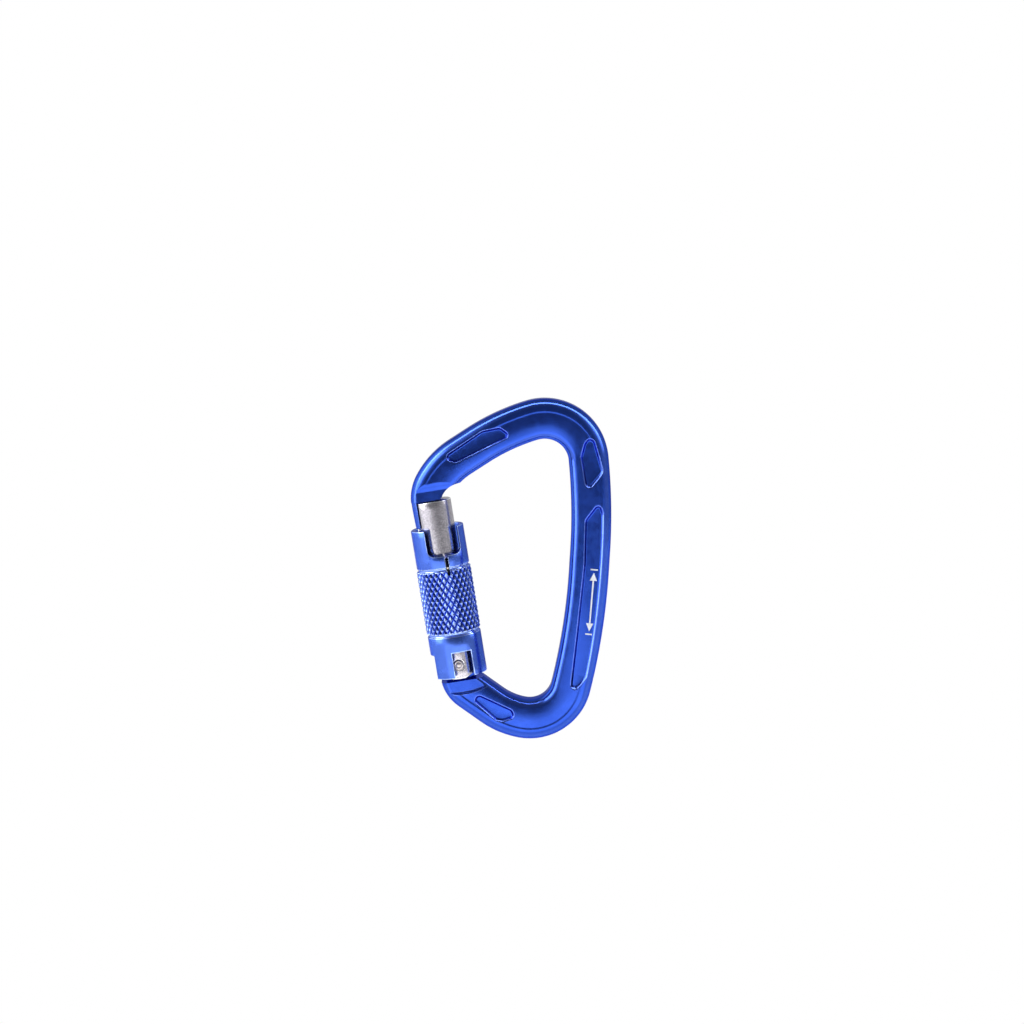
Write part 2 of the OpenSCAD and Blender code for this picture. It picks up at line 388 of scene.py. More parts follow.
def bevel(obj, width, chosen=None, segments=2, slot=1, clamp=True):
    """Rounds the sharp edges, as faces of the material in slot, which on most parts is a lighter
    copy of the metal: a painted highlight along the edges.
    chosen(points in mm) picks the edges by their middles. Without clamp no edge's bevel is held
    back by a short neighbour, and faces that fold onto each other there are taken away."""
    b = bmesh.new()
    b.from_mesh(obj.data)
    bmesh.ops.remove_doubles(b, verts=b.verts, dist=WELD if clamp else WIDE_WELD)
    bmesh.ops.dissolve_degenerate(b, edges=b.edges, dist=1e-7)
    sharp = [e for e in b.edges if e.is_manifold and e.calc_face_angle(0) > math.radians(SHARPEST)]
    if chosen is not None and sharp:
        middles = np.array([(e.verts[0].co + e.verts[1].co) / 2 for e in sharp]) / MM
        sharp = [e for e, keep in zip(sharp, chosen(middles)) if keep]
    bmesh.ops.bevel(b, geom=sharp, offset=width * MM, segments=segments, profile=0.5,
                    affect="EDGES", clamp_overlap=clamp, material=slot)
    bmesh.ops.dissolve_degenerate(b, edges=b.edges, dist=1e-7)
    bmesh.ops.triangulate(b, faces=[f for f in b.faces if len(f.verts) > 4])
    alike = {}
    for f in b.faces:
        alike.setdefault(frozenset(f.verts), []).append(f)
    folded = [f for group in alike.values() if len(group) > 1 for f in group]
    bmesh.ops.delete(b, geom=folded, context="FACES")
    bmesh.ops.recalc_face_normals(b, faces=b.faces)
    in_order(b)
    b.to_mesh(obj.data)
    b.free()
    shade_smooth(obj.data, CREASE)
    return obj


# ---------------- the forged bar

BAR_CORNERS = [
    (-33.3, -23.0, 0), (-34.4, -16.3, 8), (-30.4, -8.7, 22.5), (-12.7, 2.8, 62.5), (11.0, 10.0, 13),
    (13.9, -20.0, 175), (11.7, -57.2, 193), (4.6, -86.0, 12.6), (-12.0, -82.8, 22.5),
    (-25.0, -73.5, 6.6), (-26.5, -64.0, 0),
]
BAR_HALF = 5.9  # half the width in the plane
FACE = float(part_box("body")[1][1]) / MM  # half the thickness
OUTER = (3.3, 4.0)  # half axes of the outer rounding, across and front to back
INNER = (2.6, 3.2)  # and of the inner one
CROWN = (0.013, 0.01527)  # how fast the face falls outwards and inwards from the middle line
INNER_DROP = 0.178  # how far the face has fallen where the inner rounding starts
INNER_TURN = 5.0  # degrees of the inner rounding that the crown takes the place of
BEAD = (2.62, 0.75)  # where the bead along the outer rounding ends, and how wide its slope is
POCKET_DEPTH = 0.9
POCKET_WALL = 0.7
POCKET_CORNER = 0.6  # radius of a pocket's corners
POCKET_CURVE = 25.0  # and where its outline only bends

NECK_LINE_SIDES = (-4.25, 4.45)  # how far in and out from the middle line the neck's lines run
POCKET_MARGIN = 0.3  # how far the wall's foot stands inside its given outline
POCKET_HIGHLIGHT = ([0.0, 0.03, 0.3, 0.97], [0.1, 1.0, 0.6, 0.0])  # share of the depth, and the painted highlight there: the top of each pocket's wall is lightened
FACE_WEAR, RIM_WEAR, FINGER_WEAR = 0.25, 0.2, 0.4
CLEAR_OF_LIP, CLEAR_OF_STEP = 0.16, 0.12  # how near the grid's points come to a pocket or a step

NOSE_POCKET = [(-29.6, -6.0), (-29.2, -4.2), (-19.0, 2.7), (-13.6, 3.8), (-11.1, 2.0),
               (-11.3, 0.6), (-26.7, -6.9)]
SHOULDER_POCKET = [(12.5, 0.9), (14.3, -0.3), (17.0, -9.6), (12.7, -14.9), (11.4, -13.3),
                   (10.0, -5.1), (11.1, -1.0)]
SPINE_POCKET = [(17 - (z + 21) ** 2 / 512, z) for z in np.arange(-22.0, -71.1, -2.45)] + [
    (8.9, -74.6), (7.3, -73.9), (7.3, -72.5), (8.9, -58.4), (11.1, -37.1), (11.4, -23.8),
    (14.6, -19.5), (16.2, -19.5)]
HINGE_POCKET = [(-21.3, -78.2), (-20.9, -76.5), (-19.6, -76.0), (-10.0, -80.5), (-9.3, -82.0),
                (-9.8, -83.2), (-12.7, -84.2), (-14.9, -83.8)]


def face_height(s):
    """Height of the bar's face over its middle plane, s outwards from the middle line."""
    s = np.asarray(s, float)
    out = np.clip((s - (BAR_HALF - OUTER[0])) / OUTER[0], 0, 1)
    outside = CROWN[0] * s**2 * (1 - smooth((s - BEAD[0] + BEAD[1]) / BEAD[1]))
    outside += OUTER[1] * (1 - np.sqrt(1 - out**2))
    inn = np.clip((-(BAR_HALF - INNER[0]) - s) / INNER[0], 0, 1)
    inside_drop = INNER_DROP + INNER[1] * (1 - np.sqrt(1 - inn**2))
    crowned = inn < math.sin(math.radians(INNER_TURN))
    inside_drop = np.where(crowned, CROWN[1] * s**2, inside_drop)
    return FACE - np.where(s > 0, outside, inside_drop)


def neck_height(x, z):
    """Most that the bar's faces may rise at the machined necks of the nose and the hinge."""
    u, w = to_gate(x, z)
    nose = smooth((w - NOSE_STEP[0]) / (NOSE_STEP[1] - NOSE_STEP[0]))
    hinge = smooth((hinge_step(u) - w) / HINGE_STEP)
    share = np.where(w > MIDWAY, nose, hinge)
    return np.where((u > PAST_NECKS) | (share >= 1), FACE, NECK_HALF + (FACE - NECK_HALF) * share)


def hinge_step(u):
    """Height on the gate at which the hinge neck starts to rise to the full face."""
    side, drop, half = HINGE_EDGE
    return side - drop * (1 - np.clip(np.asarray(u) / half, -1, 1) ** 2)


def neck_lines(line, outwards):
    """Lines of mesh points that follow the steps at the two necks, each with the painted highlight
    that it carries: light lines by the top and the foot of the hinge step.
    """
    u = np.arange(-8, 11, 0.45)
    found = [(u, np.full(len(u), w), 0.0)
             for w in np.linspace(NOSE_STEP[0] - 0.3, NOSE_STEP[1] + 0.3, 13)]
    # painted highlight: 1 on the lines by the hinge step's top and foot, so that they show as light
    # lines
    found += [(u, hinge_step(u) - t * HINGE_STEP, float(min(abs(t), abs(t - 1)) < 0.1))
              for t in np.linspace(-0.15, 1.15, 12)]
    lines = []
    for across, up, wear_and_highlight in found:
        xz = flat_from_gate(across, up)
        s = side_of(xz, line, outwards)
        ok = (s > NECK_LINE_SIDES[0]) & (s < NECK_LINE_SIDES[1]) & (distance_to(xz, line) < 4.5)
        lines.append((xz[ok], wear_and_highlight))
    return [row for row in lines if len(row[0]) > 2]


def edge_directions(loop):
    """Unit vectors along the edges before and after each corner of a closed line."""
    ahead = unit(np.roll(loop, -1, axis=0) - loop)
    return np.roll(ahead, 1, axis=0), ahead


def offset_corners(corners, inset):
    """A coarse outline moved inwards by inset, with its corners kept sharp."""
    p = np.array(corners, float)
    if (p[:, 0] * np.roll(p[:, 1], -1) - p[:, 1] * np.roll(p[:, 0], -1)).sum() < 0:
        p = p[::-1]
    before, ahead = edge_directions(p)
    both = before + ahead
    left = unit(np.stack([-both[:, 1], both[:, 0]], axis=1))
    return p + left * inset / np.sqrt((1 + (before * ahead).sum(1, keepdims=True)) / 2)


def pocket_rings(corners):
    """Rings of a pocket from its floor to its lip: lists of (points, share of the full depth)."""
    floor = offset_corners(corners, POCKET_WALL + POCKET_MARGIN)
    before, ahead = edge_directions(floor)
    gentle = (ahead * before).sum(1) > math.cos(math.radians(12))
    radii = np.where(gentle, POCKET_CURVE, POCKET_CORNER)
    loop, lefts = rounded_line([(x, z, r) for (x, z), r in zip(floor, radii)], 0.5, True, True)
    profile = rounded_line([
        (-1.0, 1.0, 0), (0.0, 1.0, 0.3), (POCKET_WALL, 0.0, 0.3), (POCKET_WALL + 1.0, 0.0, 0)
    ], 5)[0]
    return [(loop - lefts * (a + POCKET_MARGIN), share) for a, share in profile[1:-1]]


NOSE_FOOT = 49.6
NECK_TOP = -5.0
NECK_FOOT = -7.1
NECK_HALF = 4.9
NOSE_STEP = (52.4, 54.8)  # heights between which the nose's neck grows to the full face
HINGE_STEP = 0.75  # and the length of the same step at the hinge
HINGE_EDGE = (-7.2, 1.1, 7.0)  # where it starts at its sides, its drop between them, half its width
MIDWAY, PAST_NECKS = 20.0, 12.0  # up the gate between nose and hinge, and across it past both
HOLLOW = (8.5, 47.2, 6.2)  # middle, across and up the gate, and radius of the hollow by the nose
FAR = 20.0  # past everything, for cutters


def bar_shape():
    """The whole forged bar as a closed solid, before its ends are machined."""
    shape = Shape()
    line, outwards = rounded_line(BAR_CORNERS, 0.6)
    inner_angles = np.radians([27.5, 22, 17, 12.5, 8.5, INNER_TURN])
    outer_angles = np.radians([0.6, 6, 12, 19, 27, 37])
    rows = np.concatenate([
        -(BAR_HALF - INNER[0]) - INNER[0] * np.sin(inner_angles),
        [-3.2, -2.8, -2.4, -2.0, -1.6, -1.2, -0.8, -0.4, 0.0, 0.6, 1.2, 1.7],
        BEAD[0] - BEAD[1] * np.array([1.1, 0.9, 0.7, 0.5, 0.3, 0.1]),
        BAR_HALF - OUTER[0] + OUTER[0] * np.sin(outer_angles),
    ])
    grid = line[:, None] + rows[None, :, None] * outwards[:, None]
    flat = grid.reshape(-1, 2)
    height = np.tile(face_height(rows), len(line))
    wear_and_highlight = np.tile(FACE_WEAR * smooth((np.abs(rows) - 3.6) / 1.2), len(line))

    keep = np.ones(len(flat), bool)
    rings = []
    for corners in (NOSE_POCKET, SHOULDER_POCKET, SPINE_POCKET, HINGE_POCKET):
        rings += pocket_rings(corners)
        lip = rings[-1][0]
        keep &= ~inside(flat, lip) & (distance_to(flat, lip, closed=True) > CLEAR_OF_LIP)
    steps = neck_lines(line, outwards)
    for row, _ in steps:
        keep &= distance_to(flat, row) > CLEAR_OF_STEP
    edge = np.zeros(grid.shape[:2], bool)
    edge[:, [0, -1]] = True
    edge[[0, -1], :] = True
    keep |= edge.ravel()

    number = np.cumsum(keep) - 1
    points, heights, worn_and_lit = [flat[keep]], [height[keep]], [wear_and_highlight[keep]]
    fixed_edges = []

    def add_line(row, high, highlight_there, closed):
        """Adds a line of points, whose edges every triangle keeps to."""
        first = sum(len(group) for group in points)
        n = np.arange(first, first + len(row))
        fixed_edges.extend(zip(n, np.roll(n, -1) if closed else n[1:]))
        points.append(row)
        heights.append(high)
        worn_and_lit.append(np.full(len(row), highlight_there))

    for loop, share in rings:
        top = face_height(side_of(loop, line, outwards))
        # painted highlight: each pocket's wall is lightened just under its lip
        highlight_there = np.interp(share, *POCKET_HIGHLIGHT)
        add_line(loop, top + (FACE - POCKET_DEPTH - top) * share, highlight_there, True)
    for row, highlight_there in steps:
        add_line(row, face_height(side_of(row, line, outwards)), highlight_there, False)
    points, heights, worn_and_lit = (np.concatenate(x) for x in (points, heights, worn_and_lit))
    heights = np.minimum(heights, neck_height(points[:, 0], points[:, 1]))

    index = np.where(keep, number, -1).reshape(grid.shape[:2])
    border = np.concatenate([index[:-1, 0], index[-1, :-1], index[:0:-1, -1], index[0, :0:-1]])
    tris = triangulate(points, border, fixed_edges)

    front = shape.add(lifted(points, -heights), worn_and_lit)
    back = shape.add(lifted(points, heights), worn_and_lit)
    for a, b, c in tris:
        shape.face([front[a], front[b], front[c]])
        shape.face([back[c], back[b], back[a]])

    def rim(column, side, axes, angle_from, count):
        angles = np.linspace(angle_from, math.pi / 2, count + 1)[1:]
        across = side * (BAR_HALF - axes[0] + axes[0] * np.sin(angles))
        high = FACE - axes[1] * (1 - np.cos(angles)) - (INNER_DROP if side < 0 else 0)
        table = [(a, -h) for a, h in zip(across, high)]
        table += [(side * BAR_HALF, 0.0)]
        table += [(a, h) for a, h in zip(across[::-1], high[::-1])]
        made = [front[index[:, column]]]
        for a, y in table:
            q = line + a * outwards
            y = np.sign(y) * np.minimum(abs(y), neck_height(q[:, 0], q[:, 1]))
            made.append(shape.add(lifted(q, y), RIM_WEAR))
        made.append(back[index[:, column]])
        for one, other in zip(made, made[1:]):
            shape.strip(one, other)
        return made

    inner = rim(0, -1, INNER, inner_angles[0], 8)
    outer = rim(-1, 1, OUTER, outer_angles[-1], 9)
    for end in (0, -1):
        ring = [front[k] for k in index[end]]
        ring += [row[end] for row in outer[1:-1]]
        ring += [back[k] for k in index[end][::-1]]
        ring += [row[end] for row in inner[1:-1]][::-1]
        shape.face(ring)
    return shape


def side_of(points, line, outwards):
    """Signed distance of points outwards from the bar's middle line."""
    s = np.zeros(len(points))
    for k in range(0, len(points), CHUNK):
        gap = points[k : k + CHUNK, None] - line[None]
        nearest = (gap**2).sum(2).argmin(1)
        rows = np.arange(len(nearest))
        s[k : k + CHUNK] = (gap[rows, nearest] * outwards[nearest]).sum(1)
    return s


def make_body(materials):
    """The forged bar, with the room for the gate cut out at the nose and the hinge."""
    obj = bar_shape().object("forged_body", materials)
    u, w, radius = HOLLOW
    turn = np.radians(np.arange(0, 360, 3))
    hollow = np.stack([u + radius * np.cos(turn), w + radius * np.sin(turn)], axis=1)
    outlines = [
        box_outline(-FAR, 0, 9, NOSE_FOOT),  # the gate's and the sleeve's room
        box_outline(-FAR, NECK_TOP, u, 1),  # down to the hinge neck
        hollow,
        box_outline(2.6, NOSE_FOOT - 1, u, NOSE_FOOT + 0.4),  # a low step beside the nose
    ]
    cut(obj, [prism(outline, -FAR, FAR) for outline in outlines])
    shade_smooth(obj.data, BODY_CREASE)
    return obj


FINGER = ((41.5, 5.95), (41.62, 6.06), (41.8, 6.1), (44.5, 6.22), (47.5, 6.3),
          (NOSE_FOOT - 0.1, 6.3), (NOSE_FOOT + 0.6, 6.0))  # height, and how far out the face is
FINGER_HALF, FINGER_EDGE = 3.3, 4.75  # half the width, and how far out its edges are
FINGER_BORE = 5.62  # radius of its inner face, which clears the gate
TAB_HALF, TAB_ROOT, TAB_TIP = 2.0, 2.15, -3.0  # the tab in the gate's slot


def make_finger(materials):
    """Blade that reaches down from the nose, outside the gate and into its top slot."""
    shape = Shape()
    rows = []
    for w, outer in FINGER:
        bulge = outer - FINGER_EDGE
        radius = (bulge**2 + FINGER_HALF**2) / (2 * bulge)
        spread = math.asin(FINGER_HALF / radius)
        a = np.linspace(-spread, spread, 17)
        u_out, y_out = -(outer - radius) - radius * np.cos(a), radius * np.sin(a)
        y_in = np.linspace(FINGER_HALF, TAB_ROOT, 5)[1:]
        u_in = -np.sqrt(FINGER_BORE**2 - y_in**2)
        u = np.concatenate([u_out, u_in, [TAB_TIP, TAB_TIP], u_in[::-1]])
        y = np.concatenate([y_out, y_in, [TAB_HALF, -TAB_HALF], -y_in[::-1]])
        rows.append(shape.add(from_gate(u, y, w), FINGER_WEAR))
    shape.tube(rows)
    obj = shape.object("nose_finger", materials)
    return bevel(obj, 0.15, lambda p: to_gate(p[:, 0], p[:, 2])[1] < 49)


CAM_R, CAM_RISE = 4.4, 2.0  # the cam's radius straight up, and its growth per radian
TONGUE_HALF, TONGUE_BORE = 2.4, 1.55


def make_tongue(materials):
    """Tongue inside the gate with the spiral cam that lifts the plunger."""
    a = np.radians(np.arange(-20, 41, 3))
    r = CAM_R + CAM_RISE * a
    outline = list(zip(r * np.sin(a), r * np.cos(a)))
    outline += [(CAM_R, 0), (CAM_R, NECK_FOOT), (-CAM_R, NECK_FOOT), (-CAM_R, 0)]
    obj = prism(outline, -TONGUE_HALF, TONGUE_HALF).object("hinge_tongue", materials)
    cut(obj, [prism(circle(TONGUE_BORE), -5, 5)])
    return bevel(obj, 0.12)


def circle(radius):
    a = 2 * math.pi * np.arange(CIRCLE_STEPS) / CIRCLE_STEPS
    return list(zip(radius * np.cos(a), radius * np.sin(a)))


# ---------------- gate and rivet

GATE_R = 5.4
GATE_FOOT = -4.3
GATE_TOP = 49.2
GATE_SWING = 24.0  # degrees, and the slope of the cut that lets the foot swing
FOOT_CUT = 1.65  # where that cut starts across the foot
FOOT_SLOT = 2.6  # half the width of the slot for the tongue
SLOT_TOP = 7.6
TOP_SLOT = 2.3  # half the width of the slot for the finger
TOP_SLOT_FOOT, TOP_SLOT_BACK = 41.2, -2.6
PLUNGER_BORE, SPRING_SEAT = 2.06, 24.0
RIVET_R = 1.5
OFF, ABOVE = 10.0, 60.0  # outside the gate and above its top, for cutters
COLLAR_GROOVE = (27.0, 31.7, 4.6)  # foot, top and radius


def make_gate(materials):
    """Round bar, bored for the plunger, with both slots, the slanted foot and the groove."""
    low, high, groove_r = COLLAR_GROOVE
    outline = [(0, GATE_FOOT)] + [(GATE_R, h) for h in np.linspace(GATE_FOOT, low, 14)]
    outline += [(groove_r, low), (groove_r, high)]
    outline += [(GATE_R, h) for h in np.linspace(high, GATE_TOP, 9)] + [(0, GATE_TOP)]
    obj = lathe(outline, 72).object("gate_barrel", materials)
    swing = math.radians(GATE_SWING)
    along = np.array([math.cos(swing), math.sin(swing)])
    down = np.array([math.sin(swing), -math.cos(swing)])
    start = np.array([FOOT_CUT, GATE_FOOT])
    end = start + 2 * OFF * along
    foot = [start, end, end + OFF * down, start + OFF * down]
    cut(obj, [
        prism(box_outline(-OFF, GATE_FOOT - 1, OFF, SLOT_TOP), -FOOT_SLOT, FOOT_SLOT),
        prism(box_outline(-OFF, TOP_SLOT_FOOT, TOP_SLOT_BACK, ABOVE), -TOP_SLOT, TOP_SLOT),
        prism(circle(PLUNGER_BORE), SLOT_TOP - 1, SPRING_SEAT, from_gate),
        prism(foot, -OFF, OFF),
        prism(circle(RIVET_R), -OFF, OFF),
    ])
    return bevel(obj, 0.3, segments=3, clamp=False)


def make_rivet(materials):
    """Rivet with a low dome and the ring that its setting tool leaves."""
    head = GATE_R + 0.35
    half = [(0, -head + 0.02), (0.5, -head + 0.02), (0.72, -head + 0.1), (0.8, -head + 0.16),
            (0.9, -head + 0.05), (1.05, -head), (1.2, -head + 0.02), (1.38, -head + 0.1),
            (1.47, -head + 0.22), (1.5, -head + 0.36)]
    shape = lathe(half + [(r, -y) for r, y in half[::-1]], 72, about_rivet)
    return shape.object("rivet_pin", materials, crease=60)


# ---------------- sleeve

SKIRT_FOOT, CUT_TOP, GROOVE_LOW, GRIP_FOOT, GRIP_TOP = -3.6, 3.4, 9.0, 9.8, 28.6
GROOVE_HIGH, LAND_FOOT, NOTCH_FOOT, TINE_TOP = 29.4, 31.9, 33.2, 41.1
BORE_R, GRIP_R, UPPER_R, LOWER_R, GROOVE_R = 6.45, 8.15, 7.85, 7.95, 7.45
TINE_R, LAND_R = 6.6, 5.48
NOTCH_TURN = 12.0  # degrees that the notch, slit and window are turned from the front
NOTCH = (4.95, 1.8)  # half its width, and the radius of its corners
WINDOW = (2.85, 4.0)  # half its width, and its top
SLIT = (0.4, 27.1, 36)  # half its width, its foot and its top
CUT_START = 30.3  # degrees at which the skirt's cut half starts
CLEAR = 12.0  # outside the sleeve, for cutters
KNURLS = 30  # diamonds round the grip
KNURL_ROWS = 13  # half diamonds along it
KNURL_STEPS = 4  # mesh steps in half a diamond
KNURL_DEPTH = 0.45
KNURL_TIP = 0.88  # share of the full height at which the tips are worn flat
KNURL_SLOT = 2  # its material among the sleeve's


def make_sleeve(materials):
    """Locking sleeve, with every diamond of its grip, and coarser walls above and below it."""
    count = KNURLS * 2 * KNURL_STEPS
    turns = 2 * math.pi * np.arange(count) / count
    coarse = turns[::KNURL_STEPS]
    shape = Shape()

    def rings(points):
        return [shape.add(about_gate(r, coarse, h)) for r, h in points]

    knurl = []
    along = KNURL_ROWS * KNURL_STEPS
    low, high = GRIP_FOOT, GRIP_TOP
    for j in range(along + 1):
        u = np.arange(count) / (2 * KNURL_STEPS)
        v = j / (2 * KNURL_STEPS)
        a, b = np.mod(u + v, 1), np.mod(u - v, 1)
        h = 1 - 2 * np.maximum(np.abs(a - 0.5), np.abs(b - 0.5))
        radius = GRIP_R - KNURL_DEPTH * (1 - np.minimum(h / KNURL_TIP, 1))
        # painted highlight on the diamonds' tips, and painted shade in the valleys, where the knurl
        # keeps its dark colour
        wear_and_highlight = np.clip((h - 0.25) / 0.5, 0, 1)
        knurl.append(shape.add(about_gate(radius, turns, low + (high - low) * j / along), wear_and_highlight))
    for j, (one, other) in enumerate(zip(knurl, knurl[1:])):
        for k in range(count):
            n = (k + 1) % count
            if (j // KNURL_STEPS + k // KNURL_STEPS) % 2 == 0:
                pair = (one[k], one[n], other[n]), (one[k], other[n], other[k])
            else:
                pair = (one[k], one[n], other[k]), (one[n], other[n], other[k])
            for face in pair:
                shape.face(face, KNURL_SLOT)

    below = rings([(GROOVE_R, GRIP_FOOT), (GROOVE_R, GROOVE_LOW),
                   (LOWER_R, GROOVE_LOW)] + [(LOWER_R, h) for h in (6.5, 4, 1.5, -1)]
                  + [(LOWER_R, SKIRT_FOOT), (BORE_R, SKIRT_FOOT)])
    above = rings([(GROOVE_R, GRIP_TOP), (GROOVE_R, GROOVE_HIGH),
                   (UPPER_R, GROOVE_HIGH)] + [(UPPER_R, h) for h in (32, 34.5, 37, 39)]
                  + [(UPPER_R, TINE_TOP), (TINE_R, TINE_TOP), (TINE_R, NOTCH_FOOT),
                     (LAND_R, NOTCH_FOOT), (LAND_R, LAND_FOOT), (BORE_R, LAND_FOOT)])
    for rows in (below[::-1], above + [below[-1]]):
        for one, other in zip(rows, rows[1:]):
            shape.strip(one, other, closed=True)
    for k in range(len(coarse)):
        n = (k + 1) % len(coarse)
        grip = [(k * KNURL_STEPS + i) % count for i in range(KNURL_STEPS + 1)]
        shape.face([below[0][k], below[0][n]] + [knurl[0][i] for i in grip[::-1]])
        shape.face([above[0][n], above[0][k]] + [knurl[-1][i] for i in grip])
    obj = shape.object("locking_sleeve", materials)

    half, radius = NOTCH
    notch = rounded_line([(-half, ABOVE, 0), (-half, NOTCH_FOOT, radius),
                          (half, NOTCH_FOOT, radius), (half, ABOVE, 0)], 0.4)[0]
    round_the_back = np.radians(np.linspace(CUT_START, CUT_START + 180, 13))
    wedge = [(0, 0)] + [(CLEAR * math.cos(t), CLEAR * math.sin(t)) for t in round_the_back]
    half, top = WINDOW
    window = box_outline(-half, -OFF, half, top)
    half, low, high = SLIT
    slit = box_outline(-half, low, half, high, half - 0.01)
    cut(obj, [
        prism(notch, -CLEAR, CLEAR, from_turned_front),
        prism(wedge, SKIRT_FOOT - 1, CUT_TOP, from_gate),
        prism(slit, -CLEAR, 0, from_turned_front),
        prism(window, -CLEAR, 0, from_turned_front),
    ])

    def off_the_grip(p):
        u, w = to_gate(p[:, 0], p[:, 2])
        r = np.hypot(u, p[:, 1])
        return ~((w > GRIP_FOOT + 0.05) & (w < GRIP_TOP - 0.05) & (r > GROOVE_R - 0.05))

    return bevel(obj, 0.28, off_the_grip, clamp=False)


def from_turned_front(u, w, y):
    """As from_front, but turned with the sleeve's notch and slit."""
    c, s = math.cos(math.radians(NOTCH_TURN)), math.sin(math.radians(NOTCH_TURN))
    return from_gate(u * c - y * s, u * s + y * c, w)


# ---------------- the pieces inside


BUSH_FOOT, BUSH_TOP = 5.5, 9.5
COLLAR_FOOT, COLLAR_TOP, COLLAR_BORE, COLLAR_R = 27.2, 31.5, 4.67, 6.38
COLLAR_GAP = 1.0  # half the width of the slit that splits the ring


def tube(inner, outer, foot, top):
    """Outline of [radius, height] of a plain ring."""
    return [(inner, foot), (outer, foot), (outer, top), (inner, top)]


def make_turned(name, outline, edge, materials):
    return bevel(lathe(outline).object(name, materials), edge, slot=0)


PLUNGER_R, PLUNGER_BAND, PLUNGER_TOP = 2.0, 8.3, 16.0  # radius, foot of its full width, and top


def make_plunger(materials):
    """Plunger with a ball end for the cam."""
    ball, gap = 1.2, 0.3
    nose = CAM_R + gap + ball
    a = np.radians(np.arange(0, 76, 15))
    dome = [(ball * math.sin(t), nose - ball * math.cos(t)) for t in a]
    shape = lathe(dome + [(PLUNGER_R, PLUNGER_BAND), (PLUNGER_R, PLUNGER_TOP - 0.2),
                          (PLUNGER_R - 0.2, PLUNGER_TOP), (0, PLUNGER_TOP)], 64)
    return shape.object("cam_plunger", materials)


def make_collar(materials):
    """Split ring that turns in the gate's groove."""
    outline = tube(COLLAR_BORE, COLLAR_R, COLLAR_FOOT, COLLAR_TOP)
    obj = make_turned("guide_ring", outline, 0.15, materials)
    gap = box_outline(-COLLAR_GAP, COLLAR_FOOT - 0.2, COLLAR_GAP, COLLAR_TOP + 0.5)
    return cut(obj, [prism(gap, 0, CLEAR, from_turned_front)])


PIN_HEIGHT = 29.5


def make_pin(materials):
    """Pin in the slit, with a domed end."""
    steps = 24
    a = 2 * math.pi * np.arange(steps) / steps
    shape = Shape()
    rows = []
    # its radius at each distance from the gate's middle line
    for r, y in ((0.3, -5.0), (0.3, -7.45), (0.27, -7.56), (0.18, -7.62), (0.05, -7.64)):
        rows.append(shape.add(from_turned_front(r * np.cos(a), PIN_HEIGHT + r * np.sin(a), y)))
    shape.tube(rows)
    return shape.object("guide_pin_head", materials)


def make_spring(name, radius, wire, foot, top, turns, materials):
    """Coil with its end turns closed and ground flat, as a swept wire."""
    steps, sides = 28, 10
    turned = np.arange(turns * steps + 1) / steps
    share = turned / turns
    closing = 0.5 / turns
    flat = np.interp(share, [0, closing, 1 - closing, 1], [0, 0, 1, 1])
    w = foot + wire / 2 + (top - foot - wire) * (0.15 * share + 0.85 * flat)
    a = 2 * math.pi * turned
    shape = Shape()
    rows = []
    for angle, height in zip(a, w):
        k = 2 * math.pi * np.arange(sides) / sides
        r = radius + wire / 2 * np.cos(k)
        rows.append(shape.add(from_gate(r * math.cos(angle), r * math.sin(angle),
                                        height + wire / 2 * np.sin(k))))
    shape.tube(rows)
    return shape.object(name, materials)


MARK_SUNK, MARK_RAISED = 0.05, 0.012


def make_mark(materials):
    """Generic double-headed load arrow, laser-marked on the floor of the spine pocket."""
    shape = Shape()
    depth = FACE - POCKET_DEPTH
    top, foot = np.array([14.15, -39.5]), np.array([12.75, -57.0])
    along = unit(top - foot)
    across = np.array([-along[1], along[0]])
    length = float(np.linalg.norm(top - foot))

    def patch(points):
        q = np.array([foot + across * a + along * b for a, b in points])
        shape.tube([shape.add(lifted(q, y)) for y in (MARK_SUNK - depth, -depth - MARK_RAISED)],
                   turned=True)

    # half widths of the line and the head, the head's length and the gap to the end strokes
    half, head, point, gap = 0.22, 1.05, 2.38, 0.9
    patch(box_outline(-half, point + 0.02, half, length - point - 0.02))
    patch([(head, point), (0, 0), (-head, point)])
    patch([(-head, length - point), (head, length - point), (0, length)])
    for b in (-gap, length + gap):
        patch(box_outline(-head, b - 0.2, head, b + 0.2))
    return shape.object("load_mark", materials)


# ---------------- materials


